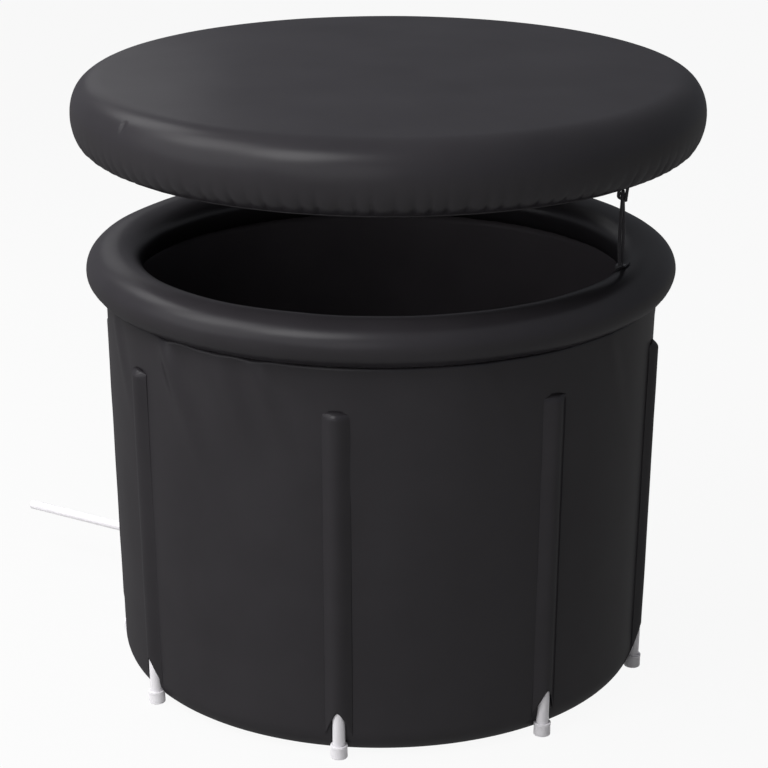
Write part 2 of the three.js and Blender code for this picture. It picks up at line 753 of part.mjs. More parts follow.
export default tub;
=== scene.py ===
import math

import bmesh
import bpy
from mathutils import Matrix, Vector, noise


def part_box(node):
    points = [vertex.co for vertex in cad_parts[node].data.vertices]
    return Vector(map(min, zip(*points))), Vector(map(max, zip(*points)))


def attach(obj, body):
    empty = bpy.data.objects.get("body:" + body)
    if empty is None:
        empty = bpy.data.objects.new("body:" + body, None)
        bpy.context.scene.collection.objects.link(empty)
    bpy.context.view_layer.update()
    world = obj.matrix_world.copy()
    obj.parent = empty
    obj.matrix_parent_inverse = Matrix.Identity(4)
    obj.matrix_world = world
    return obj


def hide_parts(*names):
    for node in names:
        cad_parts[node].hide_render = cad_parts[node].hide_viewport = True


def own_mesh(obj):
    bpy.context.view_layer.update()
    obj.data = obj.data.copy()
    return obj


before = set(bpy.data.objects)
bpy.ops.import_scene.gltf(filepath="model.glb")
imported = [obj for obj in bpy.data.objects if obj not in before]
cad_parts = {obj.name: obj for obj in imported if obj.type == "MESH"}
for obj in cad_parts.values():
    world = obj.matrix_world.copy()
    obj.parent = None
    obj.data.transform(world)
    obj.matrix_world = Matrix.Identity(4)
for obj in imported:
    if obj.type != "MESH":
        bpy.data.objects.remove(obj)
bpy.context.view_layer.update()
scene = bpy.context.scene
scene.view_settings.view_transform = "Standard"
fullTurn = 2 * math.pi
print("frame loaded with", len(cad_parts), "solids")

# camera at the photograph's viewing angle, azimuth to the right of the front
viewPoint = {
    "azimuth": 31.84,
    "pitch": 18.937,
    "distance": 3.950,
    "height": 1.8257,
    "focalPixels": 2526.0,
    "imagePixels": 768,
    "centrePixels": (380.88, 381.05),
    "sensor": 36.0,
}


def makeCamera(look):
    lens = bpy.data.cameras.new("tubCamera")
    lens.sensor_width = look["sensor"]
    lens.lens = look["sensor"] * look["focalPixels"] / look["imagePixels"]
    middle = look["imagePixels"] / 2
    lens.shift_x = (middle - look["centrePixels"][0]) / look["imagePixels"]
    lens.shift_y = (look["centrePixels"][1] - middle) / look["imagePixels"]
    camera = bpy.data.objects.new("tubCamera", lens)
    turn = math.radians(look["azimuth"])
    reach = look["distance"]
    camera.location = (reach * math.sin(turn), -reach * math.cos(turn), look["height"])
    camera.rotation_euler = (math.radians(90 - look["pitch"]), 0, turn)
    scene.collection.objects.link(camera)
    scene.camera = camera


makeCamera(viewPoint)
print("camera set")


# finishes, each a material and its slot: a mottle has a scale and a depth, a grain a scale, a depth
# and a strength
pattern = {
    "mottleDetail": 4,
    "mottleStrength": 0.5,
    "grainDetail": 2,
    "rangeLow": 0.3,
    "rangeHigh": 0.7,
    "coatRoughness": 0.3,
    "coatIndex": 1.5,
}


def startMaterial(name):
    material = bpy.data.materials.new(name)
    material.use_nodes = True
    tree = material.node_tree
    return material, tree.nodes, tree.links, tree.nodes["Principled BSDF"]


def addNoise(nodes, links, coords, scale, detail):
    texture = nodes.new("ShaderNodeTexNoise")
    texture.inputs["Scale"].default_value = scale
    texture.inputs["Detail"].default_value = detail
    links.new(coords, texture.inputs["Vector"])
    return texture.outputs["Fac"]


def addRange(nodes, links, value, low, high):
    spread = nodes.new("ShaderNodeMapRange")
    spread.inputs["From Min"].default_value = pattern["rangeLow"]
    spread.inputs["From Max"].default_value = pattern["rangeHigh"]
    spread.inputs["To Min"].default_value = low
    spread.inputs["To Max"].default_value = high
    links.new(value, spread.inputs["Value"])
    return spread.outputs["Result"]


def addTones(nodes, links, value, dark, light):
    tones = nodes.new("ShaderNodeValToRGB")
    low, high = tones.color_ramp.elements
    low.position = pattern["rangeLow"]
    high.position = pattern["rangeHigh"]
    low.color = (*dark, 1)
    high.color = (*light, 1)
    links.new(value, tones.inputs["Fac"])
    return tones.outputs["Color"]


def addBump(nodes, links, height, depth, strength, under=None):
    bump = nodes.new("ShaderNodeBump")
    bump.inputs["Distance"].default_value = depth
    bump.inputs["Strength"].default_value = strength
    links.new(height, bump.inputs["Height"])
    if under:
        links.new(under, bump.inputs["Normal"])
    return bump.outputs["Normal"]


def makeFinish(name, slotName, look):
    material, nodes, links, shader = startMaterial(name)
    coords = nodes.new("ShaderNodeTexCoord").outputs["Object"]
    mottleScale, mottleDepth = look["mottle"]
    grainScale, grainDepth, grainStrength = look["grain"]
    mottle = addNoise(nodes, links, coords, mottleScale, pattern["mottleDetail"])
    grain = addNoise(nodes, links, coords, grainScale, pattern["grainDetail"])
    colour = addTones(nodes, links, mottle, look["dark"], look["light"])
    roughness = addRange(nodes, links, mottle, *look["roughness"])
    soft = addBump(nodes, links, mottle, mottleDepth, pattern["mottleStrength"])
    fine = addBump(nodes, links, grain, grainDepth, grainStrength, soft)
    links.new(colour, shader.inputs["Base Color"])
    links.new(roughness, shader.inputs["Roughness"])
    links.new(fine, shader.inputs["Normal"])
    shader.inputs["Specular IOR Level"].default_value = look["gloss"]
    shader.inputs["Sheen Weight"].default_value = look.get("sheen", 0)
    shader.inputs["Coat Weight"].default_value = look.get("coat", 0)
    shader.inputs["Coat Roughness"].default_value = look.get("coatRoughness", pattern["coatRoughness"])
    shader.inputs["Coat IOR"].default_value = look.get("coatIndex", pattern["coatIndex"])
    return material, slotName


laminate = makeFinish("blackLaminate", "black_laminate", {
    "dark": (0.0200, 0.0184, 0.0208),
    "light": (0.0246, 0.0228, 0.0256),
    "roughness": (0.60, 0.70),
    "gloss": 0.0,
    "coat": 0.095,
    "coatRoughness": 0.31,
    "coatIndex": 2.0,
    "mottle": (7, 0.0012),
    "grain": (1100, 0.00012, 0.25),
})
# liner: the black laminate with its colour raised several times over, so that the shaded inside of the tub
# reads lighter: painted light
liner = makeFinish("blackLinerPaintedLight", "black_liner", {
    "dark": (0.056, 0.050, 0.056),
    "light": (0.068, 0.061, 0.068),
    "roughness": (0.50, 0.62),
    "gloss": 0.12,
    "mottle": (6, 0.002),
    "grain": (900, 0.00012, 0.25),
})
whitePlastic = makeFinish("whitePlastic", "white_plastic", {
    "dark": (0.85, 0.83, 0.86),
    "light": (0.89, 0.87, 0.90),
    "roughness": (0.30, 0.40),
    "gloss": 0.45,
    "mottle": (45, 0.0002),
    "grain": (2200, 0.00003, 0.2),
})
plasticLook = {
    "dark": (0.010, 0.010, 0.012),
    "light": (0.016, 0.016, 0.018),
    "roughness": (0.36, 0.48),
    "gloss": 0.45,
    "mottle": (60, 0.0002),
    "grain": (2600, 0.00005, 0.4),
}
blackPlastic = makeFinish("blackPlastic", "black_plastic", plasticLook)
# bar: a lighter copy of the black plastic, so that its shaded front reads as lit: painted light
barPlasticPaintedLight = makeFinish("barPlasticPaintedLight", "black_plastic", {
    **plasticLook,
    "dark": (0.046, 0.046, 0.050),
    "light": (0.056, 0.056, 0.060),
    "roughness": (0.55, 0.65),
    "gloss": 0.25,
})
cordFinish = makeFinish("blackCord", "black_cord", {
    "dark": (0.020, 0.019, 0.021),
    "light": (0.040, 0.037, 0.041),
    "roughness": (0.70, 0.85),
    "gloss": 0.25,
    "mottle": (420, 0.0008),
    "grain": (1500, 0.0003, 0.7),
    "sheen": 0.15,
})
rubber = makeFinish("greyRubber", "grey_rubber", {
    "dark": (0.030, 0.030, 0.031),
    "light": (0.042, 0.042, 0.044),
    "roughness": (0.75, 0.9),
    "gloss": 0.25,
    "mottle": (80, 0.0002),
    "grain": (1500, 0.0001, 0.4),
})
foam = makeFinish("paleFoam", "pale_foam", {
    "dark": (0.44, 0.44, 0.42),
    "light": (0.52, 0.52, 0.50),
    "roughness": (0.85, 0.95),
    "gloss": 0.2,
    "mottle": (60, 0.001),
    "grain": (700, 0.0005, 0.6),
})
print("finishes made")


# helpers that the pieces share
mergeDistance = 1e-6


def smoothStep(low, high, x):
    t = min(max((x - low) / (high - low), 0), 1)
    return t * t * (3 - 2 * t)


def ringNoise(azimuth, waves, height, seed):
    spread = waves / math.pi
    return noise.noise(Vector((spread * math.cos(azimuth), spread * math.sin(azimuth), height + seed)))


# soft unevenness: its height, its waves round the tub and up the wall, and its seed
def waveAt(wave, azimuth, z=0):
    height, waves, rise, seed = wave
    return height * ringNoise(azimuth, waves, rise * z, seed)


def azimuthOf(spot):
    return math.atan2(spot.x, -spot.y)


def atAzimuth(azimuth, radius, z):
    return Vector((radius * math.sin(azimuth), -radius * math.cos(azimuth), z))


def spinProfile(profile, steps, closed=False):
    bm = bmesh.new()
    verts = [bm.verts.new((0, -r, z)) for r, z in profile]
    pairs = list(zip(verts, verts[1:]))
    if closed:
        pairs.append((verts[-1], verts[0]))
    for pair in pairs:
        bm.edges.new(pair)
    bmesh.ops.spin(bm, geom=bm.verts[:] + bm.edges[:], cent=(0, 0, 0), axis=(0, 0, 1),
                   angle=fullTurn, steps=steps, use_merge=True)
    bmesh.ops.remove_doubles(bm, verts=bm.verts[:], dist=mergeDistance)
    bmesh.ops.recalc_face_normals(bm, faces=bm.faces[:])
    return bm


def ovalProfile(radius, z, halfWidth, halfHeight, sides):
    turns = [fullTurn * side / sides for side in range(sides)]
    return [(radius + halfWidth * math.cos(a), z + halfHeight * math.sin(a)) for a in turns]


def softenEdges(bm, width, segments=3, sharper=30):
    edges = [e for e in bm.edges if e.is_manifold and e.calc_face_angle() > math.radians(sharper)]
    bmesh.ops.bevel(bm, geom=edges, offset=width, segments=segments, profile=0.5, affect="EDGES",
                    material=-1, clamp_overlap=True)


def spinSolid(outline, steps, soft, closed=False, sharper=30):
    bm = spinProfile(outline, steps, closed=closed)
    softenEdges(bm, soft, sharper=sharper)
    return bm


def place(bm, matrix):
    bmesh.ops.transform(bm, matrix=matrix, verts=bm.verts[:])


def tubeOutline(outer, inner, start, end):
    return [(inner, start), (outer, start), (outer, end), (inner, end)]


def rodOutline(radius, start, end):
    return [(0, start), (radius, start), (radius, end), (0, end)]


def makeBar(size):
    bm = bmesh.new()
    bmesh.ops.create_cube(bm, size=1)
    bmesh.ops.scale(bm, vec=size, verts=bm.verts[:])
    return bm


# bar whose far end is rounded across
def makeTongue(size, centre, along, past, rounding, soft):
    bm = makeBar(size)
    bmesh.ops.translate(bm, vec=centre, verts=bm.verts[:])
    upright = size[2] / 2
    ends = [edge for edge in bm.edges
            if abs(edge.verts[0].co.z - edge.verts[1].co.z) > upright and edge.verts[0].co[along] > past]
    bmesh.ops.bevel(bm, geom=ends, offset=rounding, segments=8, profile=0.5, affect="EDGES", material=-1)
    softenEdges(bm, soft)
    return bm


def addBody(bm, other):
    holder = bpy.data.meshes.new("holder")
    other.to_mesh(holder)
    other.free()
    bm.from_mesh(holder)
    bpy.data.meshes.remove(holder)


def faceOutwards(bm, outwards=True):
    face = max(bm.faces, key=lambda f: f.calc_center_median().xy.length)
    points = face.normal.dot(Vector((*face.calc_center_median().xy, 0))) > 0
    if points != outwards:
        bmesh.ops.reverse_faces(bm, faces=bm.faces[:])


def makePiece(name, bm, finish, body, nodes=(), sharp=40):
    material, slotName = finish
    for edge in bm.edges:
        edge.smooth = edge.calc_face_angle(0) < math.radians(sharp)
    for face in bm.faces:
        face.smooth = True
    mesh = bpy.data.meshes.new(name)
    bm.to_mesh(mesh)
    bm.free()
    mesh.materials.append(material)
    piece = bpy.data.objects.new(name, mesh)
    scene.collection.objects.link(piece)
    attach(piece, body)
    if nodes:
        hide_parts(*nodes)
    return piece


def addThickness(piece, thickness):
    wallThickness = piece.modifiers.new("thickness", "SOLIDIFY")
    wallThickness.thickness = thickness
    wallThickness.offset = -1
    wallThickness.use_even_offset = True


# rim ring sizes, which the tether stands on as well
rimLow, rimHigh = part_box("rim_tube")
rim = {
    "height": (rimLow.z + rimHigh.z) / 2,
    "halfHeight": (rimHigh.z - rimLow.z) / 2,
    "halfWidth": 0.0465,
    "steps": 432,
    "sides": 56,
    "billow": (0.0009, 14, 1, 2.0),
    "puckers": 84,
    "puckerDepth": 0.0007,
    "puckerStart": 0.15,
    "puckerFull": 0.95,
}
rim["radius"] = rimHigh.x - rim["halfWidth"]


def rimSurface(radius):
    across = (radius - rim["radius"]) / rim["halfWidth"]
    return rim["height"] + rim["halfHeight"] * math.sqrt(max(1 - across * across, 0))


# tether: the cord rises from the bar on the rim, goes over the toggle and comes down beside itself,
# and the loop hangs from the lid and goes under the toggle
tether = {
    "azimuth": 100,
    "rimAngle": 125,
    "turns": {"foot": -8, "lead": -36, "middle": -82, "toggle": 10},
    "diameter": 0.0054,
    "room": 0.0006,
    "cordLead": 0.018,
    "bightLead": 0.0088,
    "clearance": 0.0008,
    "toggleDrop": 0.052,
    "toggleLength": 0.017,
    "toggleDiameter": 0.006,
    "toggleTilt": 22,
    "legSpread": 0.0059,
    "topSpread": 0.006,
    "footSpread": 0.0049,
    "footRise": 0.0008,
    "lean": 0.007,
    "anchorRise": 0.003,
    "patchThickness": 0.0015,
    "gap": 0.0003,
    "routeSteps": 3,
    "bevelSteps": 4,
    "closedShare": 0.011,
    "loopClosedShare": 0.008,
}
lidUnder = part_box("lid_top")[0].z
rimAngle = math.radians(tether["rimAngle"])
tetherRadius = rim["radius"] + rim["halfWidth"] * math.cos(rimAngle)
anchorSeat = rim["height"] + rim["halfHeight"] * math.sin(rimAngle)
anchorTop = anchorSeat + tether["gap"] + tether["patchThickness"] + tether["anchorRise"]
toggleHeight = lidUnder - tether["toggleDrop"]
tetherTurn = Matrix.Rotation(math.radians(tether["azimuth"] - 90), 4, "Z")


def atTether(u, v, z):
    return tetherTurn @ Vector((tetherRadius + u, v, z))


def atTurn(stage, u, v, z):
    turned = Matrix.Rotation(math.radians(tether["turns"][stage]), 4, "Z") @ Vector((u, v, z))
    return atTether(*turned)


def smoothRoute(points, steps):
    ends = [2 * points[0] - points[1], *points, 2 * points[-1] - points[-2]]
    route = []
    for a, b, c, d in zip(ends, ends[1:], ends[2:], ends[3:]):
        for step in range(steps):
            t = step / steps
            bend = 2 * b + (c - a) * t + (2 * a - 5 * b + 4 * c - d) * t * t
            route.append((bend + (3 * b - a - 3 * c + d) * t ** 3) / 2)
    return [*route, points[-1]]


def cordTube(name, route, diameter):
    line = bpy.data.curves.new(name, "CURVE")
    line.dimensions = "3D"
    line.bevel_depth = diameter / 2
    line.bevel_resolution = tether["bevelSteps"]
    line.use_fill_caps = True
    spline = line.splines.new("POLY")
    spline.points.add(len(route) - 1)
    for knot, spot in zip(spline.points, route):
        knot.co = (*spot, 1)
    holder = bpy.data.objects.new(name, line)
    scene.collection.objects.link(holder)
    graph = bpy.context.evaluated_depsgraph_get()
    tube = bpy.data.meshes.new_from_object(holder.evaluated_get(graph))
    bpy.data.objects.remove(holder)
    bm = bmesh.new()
    bm.from_mesh(tube)
    bpy.data.meshes.remove(tube)
    bmesh.ops.remove_doubles(bm, verts=bm.verts[:], dist=mergeDistance)
    bmesh.ops.recalc_face_normals(bm, faces=bm.faces[:])
    return bm


def makeTether(look):
    thick = look["diameter"]
    bight = look["toggleDiameter"] / 2 + look["clearance"] + thick / 2
    spread = (thick + look["room"]) / 2
    foot = anchorTop + look["gap"]
    diagonal = bight * math.sqrt(0.5)
    rise = [
        ("foot", spread, foot),
        ("lead", spread, foot + look["cordLead"]),
        ("middle", spread, (foot + toggleHeight) / 2),
        ("toggle", bight, toggleHeight - look["bightLead"]),
        ("toggle", bight, toggleHeight),
        ("toggle", diagonal, toggleHeight + diagonal),
    ]
    up = [atTurn(stage, 0, -v, z) for stage, v, z in rise]
    down = [atTurn(stage, 0, v, z) for stage, v, z in reversed(rise)]
    route = smoothRoute([*up, atTurn("toggle", 0, 0, toggleHeight + bight), *down], look["routeSteps"])
    tube = cordTube("tetherCord", route, thick)
    cord = makePiece("tetherCord", tube, cordFinish, "tub", ["tether_cord"])
    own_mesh(cord)

    top = lidUnder - look["gap"]
    beside = -bight
    low = toggleHeight - bight
    tilt = math.tan(math.radians(look["toggleTilt"]))
    leg = [
        (look["topSpread"], look["lean"], beside, top, 0),
        (look["topSpread"], look["lean"], beside, top - look["bightLead"], 0),
        (look["legSpread"], look["lean"] / 2, beside, (top + toggleHeight) / 2, 0),
        (look["legSpread"], 0, beside, toggleHeight, tilt),
        (look["footSpread"], 0, beside / 2, low + look["footRise"], tilt),
    ]
    first = [atTurn("toggle", lean - out, v, z + out * slope) for out, lean, v, z, slope in leg]
    second = [atTurn("toggle", lean + out, v, z - out * slope) for out, lean, v, z, slope in leg[::-1]]
    route = smoothRoute([*first, atTurn("toggle", 0, 0, low), *second], look["routeSteps"])
    tube = cordTube("lidLoop", route, thick)
    loop = makePiece("lidLoop", tube, cordFinish, "lid", ["lid_loop"])
    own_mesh(loop)


makeTether(tether)
print("tether cord and lid loop made")

# outer wall: laminate over foam, grooved behind each pole, with soft folds that hang from the rim
wall = {
    "footRadius": 0.4316,
    "slope": 0.0158 / 0.679,
    "corner": 0.046,
    "lip": 0.6433,
    "poleAzimuths": [23.2, 68, 109, 156, 203, 249.5, 296, 334.5],
    "perSector": 72,
    "rows": 48,
    "topRows": 12,
    "cornerRows": 14,
    "crowding": 0.3,
    "skin": 0.0015,
    "groove": 0.0106,
    "grooveTop": 0.569,
    "grooveEnd": 0.0015,
    "pocket": 0.0147,
    "pocketTop": 0.0222,
    "billow": (0.0012, 9, 3.1, 4.0),
    "sag": (0.0010, 20, 1.2, 9.0),
    "reliefStart": 0.03,
    "reliefFull": 0.12,
    "foamRoom": 0.0012,
    "foldLean": 50,
    "foldReach": 4,
    "valleyAway": 1.6,
    "valleyShare": 0.3,
    # azimuth in degrees, height, half width in degrees, depth of the crest below the wall's top
    "folds": [
        (-15.8, 0.0095, 2.4, 0.050),
        (-6.0, 0.0030, 1.6, 0.030),
        (-1.9, 0.0055, 2.0, 0.040),
        (6.3, 0.0060, 2.2, 0.036),
        (-38.0, 0.0030, 2.0, 0.040),
        (52.0, 0.0015, 2.2, 0.040),
        (83.0, 0.0020, 1.8, 0.035),
        (118.0, 0.0024, 1.8, 0.040),
        (149.0, 0.0032, 2.0, 0.040),
        (176.0, 0.0024, 2.2, 0.045),
        (204.0, 0.0034, 1.8, 0.040),
        (231.0, 0.0024, 2.4, 0.045),
        (262.0, 0.0030, 1.8, 0.040),
        (287.0, 0.0026, 2.0, 0.040),
    ],
}
poleAngles = [math.radians(degrees) for degrees in wall["poleAzimuths"]]
sector = fullTurn / len(poleAngles)


def wallRadius(z):
    return wall["footRadius"] + wall["slope"] * z


def halfTurned(angle):
    return (angle + math.pi) % fullTurn - math.pi


def poleOffset(azimuth):
    return min((halfTurned(azimuth - angle) for angle in poleAngles), key=abs)


def poleAngle(index):
    return poleAngles[index % len(poleAngles)]


# even columns move so that more of them stand at the poles
def crowdToPole(azimuth):
    along = azimuth / sector - 0.5
    index = round(along)
    share = 2 * (along - index)
    nextIndex = index + (1 if share > 0 else -1)
    reach = abs(halfTurned(poleAngle(nextIndex) - poleAngle(index))) / 2
    span = abs(share)
    moved = wall["crowding"] * span + (1 - wall["crowding"]) * span ** 3
    return halfTurned(poleAngle(index) + math.copysign(moved * reach, share))


def wallRelief(azimuth, z):
    relief = waveAt(wall["billow"], azimuth, z) + waveAt(wall["sag"], azimuth, z)
    below = max(wall["lip"] - z, 0)
    for degrees, height, halfWidth, crestDepth in wall["folds"]:
        away = (math.degrees(azimuth) - degrees - wall["foldLean"] * below + 180) % 360 - 180
        if abs(away) < wall["foldReach"] * halfWidth:
            crest = math.exp(-((away / halfWidth) ** 2))
            valley = math.exp(-(((away - wall["valleyAway"] * halfWidth) / halfWidth) ** 2))
            share = below / crestDepth
            relief += height * (crest - wall["valleyShare"] * valley) * share * math.exp(1 - share)
    return max(relief, -wall["foamRoom"]) * smoothStep(wall["reliefStart"], wall["reliefFull"], z)


def grooveLimit(azimuth, z):
    offset = poleOffset(azimuth)
    axis = wallRadius(z)
    across = axis * math.sin(offset)
    depth = 0
    if abs(across) < wall["groove"] and z < wall["grooveTop"] + wall["grooveEnd"] / 2:
        depth = math.sqrt(wall["groove"] ** 2 - across ** 2)
    if abs(across) < wall["pocket"] and z < wall["pocketTop"]:
        depth = math.sqrt(wall["pocket"] ** 2 - across ** 2)
    return axis * math.cos(offset) - depth if depth else 1


def makeWall():
    centre = wallRadius(wall["corner"]) - wall["corner"]
    profile = []
    for step in range(wall["cornerRows"]):
        a = (step / wall["cornerRows"] - 1) * math.pi / 2
        profile.append((centre + wall["corner"] * math.cos(a), wall["corner"] * (1 + math.sin(a))))
    for step in range(wall["rows"] + 1):
        z = wall["corner"] + (wall["grooveTop"] - wall["corner"]) * step / wall["rows"]
        profile.append((wallRadius(z), z))
    above = wall["grooveTop"] + wall["grooveEnd"]
    for step in range(wall["topRows"] + 1):
        z = above + (wall["lip"] - above) * step / wall["topRows"]
        profile.append((wallRadius(z), z))
    bm = spinProfile(profile, len(poleAngles) * wall["perSector"])
    faceOutwards(bm)
    for vert in bm.verts:
        azimuth = crowdToPole(azimuthOf(vert.co))
        z = vert.co.z
        radius = min(vert.co.xy.length + wallRelief(azimuth, z), grooveLimit(azimuth, z))
        vert.co = atAzimuth(azimuth, radius, z)
    skin = makePiece("wallSkin", bm, laminate, "tub", ["outer_skin"], sharp=60)
    addThickness(skin, wall["skin"])


makeWall()
print("wall made")


def makeRim():
    profile = ovalProfile(rim["radius"], rim["height"], rim["halfWidth"], rim["halfHeight"], rim["sides"])
    bm = spinProfile(profile, rim["steps"], closed=True)
    for vert in bm.verts:
        azimuth = azimuthOf(vert.co)
        around = math.atan2((vert.co.z - rim["height"]) / rim["halfHeight"],
                            (vert.co.xy.length - rim["radius"]) / rim["halfWidth"])
        below = smoothStep(rim["puckerStart"], rim["puckerFull"], -math.sin(around))
        swell = waveAt(rim["billow"], azimuth, math.sin(around))
        swell += rim["puckerDepth"] * below * abs(math.cos(rim["puckers"] / 2 * azimuth))
        swell -= rim["puckerDepth"]
        outwards = Vector((math.cos(around) / rim["halfWidth"], math.sin(around) / rim["halfHeight"]))
        outwards.normalize()
        vert.co = atAzimuth(azimuth, vert.co.xy.length + swell * outwards.x, vert.co.z + swell * outwards.y)
    ring = makePiece("rimRing", bm, laminate, "tub", ["rim_tube"])


makeRim()
print("rim ring made")

# inflated lid: crowned top, round edge, gathers all round above a piped seam
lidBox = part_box("lid_top")
lid = {
    "centre": (lidBox[0] + lidBox[1]) / 2,
    "radius": (lidBox[1].x - lidBox[0].x) / 2,
    "under": lidBox[0].z,
    "thickness": 0.111,
    "edgeDepth": 0.040,
    "shoulder": 0.054,
    "shoulderPower": 2.2,
    "shoulderRise": 0.0015,
    "crown": 0.007,
    "belly": 0.006,
    "mouth": 0.3845,
    "webs": (0.150, 0.310),
    "webDip": 0.0012,
    "webWidth": 0.004,
    "skin": 0.002,
    "gathers": 116,
    "perGather": 8,
    "edgeRows": 16,
    "topRows": 14,
    "underRows": 40,
    "gatherMean": 0.75,
    "gatherSpread": (0.6, 60, 0, 13.0),
    "gatherWobble": (1.3, 40, 0, 7.0),
    "gatherPower": 0.5,
    "gatherLevel": 0.65,
    "gatherDepth": 0.0090,
    "pitHeight": 0.008,
    "underRun": 0.020,
    "underDepth": 0.0030,
    "billow": 0.0010,
    "billowScale": 9,
    "billowFull": 0.03,
    "sideStart": 0.2,
    "bead": 0.0022,
    "beadOut": 0.0025,
    "beadSides": 10,
    "beadWander": (0.5, 50, 0, 21.0),
}
pinch = {
    "azimuth": -20.7, "halfWidth": 0.55, "height": 0.090, "halfHeight": 0.0055,
    "depth": 0.0030, "reach": 4, "ridge": 0.6, "ridgeAway": 1.5,
}
lid["flat"] = lid["radius"] - lid["edgeDepth"]


def gatherAt(azimuth):
    turn = lid["gathers"] / 2 * azimuth + waveAt(lid["gatherWobble"], azimuth)
    strength = lid["gatherMean"] + waveAt(lid["gatherSpread"], azimuth)
    return strength * (abs(math.cos(turn)) ** lid["gatherPower"] - lid["gatherLevel"])


# one key for all the points of a column
def columnKey(azimuth):
    return round(azimuth, 5)


def lidAt(azimuth, radius, z):
    return atAzimuth(azimuth, radius, z) + Vector((lid["centre"].x, lid["centre"].y, 0))


def pinchPush(azimuth, height):
    away = (math.degrees(azimuth) - pinch["azimuth"]) / pinch["halfWidth"]
    tall = (height - pinch["height"]) / pinch["halfHeight"]
    if abs(away) >= pinch["reach"]:
        return 0
    valley = math.exp(-away * away - tall * tall)
    ridge = math.exp(-((away + pinch["ridgeAway"]) ** 2) - tall * tall)
    return pinch["depth"] * (pinch["ridge"] * ridge - valley)


def makeLidShell(steps, gathers):
    half = lid["thickness"] / 2
    middle = lid["under"] + half
    profile = []
    for step in range(lid["edgeRows"]):
        a = (step / lid["edgeRows"] - 1) * math.pi / 2
        profile.append((lid["flat"] + lid["edgeDepth"] * math.cos(a), middle + half * math.sin(a)))
    crest = half + lid["shoulderRise"]
    inner = lid["radius"] - lid["shoulder"]
    bend = 2 / lid["shoulderPower"]
    for step in range(lid["edgeRows"] + 1):
        a = step / lid["edgeRows"] * math.pi / 2
        profile.append((inner + lid["shoulder"] * max(math.cos(a), 0) ** bend,
                        middle + crest * math.sin(a) ** bend))
    for step in range(1, lid["topRows"] + 1):
        r = inner * (1 - step / lid["topRows"])
        profile.append((r, middle + crest + lid["crown"] * (1 - (r / inner) ** 2)))
    bm = spinProfile(profile, steps)
    faceOutwards(bm)
    for vert in bm.verts:
        azimuth = azimuthOf(vert.co)
        gather = gathers.setdefault(columnKey(azimuth), gatherAt(azimuth))
        radius = vert.co.xy.length
        height = vert.co.z - lid["under"]
        pit = height / lid["pitHeight"]
        push = lid["gatherDepth"] * gather * pit * math.exp(1 - pit)
        uneven = noise.noise(lid["billowScale"] * vert.co)
        push += lid["billow"] * smoothStep(0, lid["billowFull"], height) * uneven
        if radius > lid["flat"]:
            push += pinchPush(azimuth, height)
        share = smoothStep(lid["sideStart"], 1, radius / lid["flat"])
        vert.co = lidAt(azimuth, radius + push * share, vert.co.z + push * (1 - share))
    shell = makePiece("lidShell", bm, laminate, "lid", ["lid_top"], sharp=80)
    addThickness(shell, lid["skin"])


def makeLidUnderside(steps, gathers):
    profile = []
    for step in range(lid["underRows"] + 1):
        r = lid["flat"] * step / lid["underRows"]
        belly = lid["belly"] * max(1 - (r / lid["mouth"]) ** 2, 0) ** 2
        profile.append((r, lid["under"] - belly))
    bm = spinProfile(profile, steps)
    if bm.faces[:][0].normal.z > 0:
        bmesh.ops.reverse_faces(bm, faces=bm.faces[:])
    for vert in bm.verts:
        azimuth = azimuthOf(vert.co)
        # only the pits show here, so that the lid lies flat on the rim
        gather = min(gathers.get(columnKey(azimuth), 0), 0)
        radius = vert.co.xy.length
        pit = (lid["flat"] - radius) / lid["underRun"]
        dip = sum(math.exp(-(((radius - web) / lid["webWidth"]) ** 2)) for web in lid["webs"])
        drop = lid["underDepth"] * gather * pit * math.exp(1 - pit)
        vert.co = lidAt(azimuth, radius, vert.co.z - drop + lid["webDip"] * dip)
    under = makePiece("lidUnderside", bm, laminate, "lid", ["lid_bottom"], sharp=80)
    addThickness(under, lid["skin"])


def makeLidSeam(steps):
    bead = lid["bead"]
    profile = ovalProfile(lid["flat"] + lid["beadOut"], lid["under"], bead, bead, lid["beadSides"])
    bm = spinProfile(profile, steps, closed=True)
    for vert in bm.verts:
        azimuth = azimuthOf(vert.co)
        wander = bead * waveAt(lid["beadWander"], azimuth)
        vert.co = lidAt(azimuth, vert.co.xy.length + wander, vert.co.z)
    makePiece("lidSeam", bm, laminate, "lid")


def makeLid():
    steps = lid["gathers"] * lid["perGather"]
    gathers = {}
    makeLidShell(steps, gathers)
    makeLidUnderside(steps, gathers)
    makeLidSeam(steps // 2)


makeLid()
print("lid made")

# inner liner and floor
linerLow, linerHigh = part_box("inner_liner")
lining = {
    "inset": 0.0202,
    "skin": 0.0015,
    "corner": 0.0285,
    "top": linerHigh.z,
    "steps": 320,
    "rows": 44,
    "floorRows": 24,
    "cornerRows": 10,
    "billow": 0.0022,
    "billowMean": 0.6,
    "billowSpread": (1, 16, 5, 31.0),
    "easeLow": 0.08,
    "easeHigh": 0.03,
}
lining["floor"] = linerLow.z + lining["skin"]
# the band is told by inset from the edge and rise
panel = {
    "steps": 240,
    "round": 0.0008,
    "band": ((0.030, 0), (0.028, 0.0004), (0.014, 0.0004), (0.012, 0)),
}


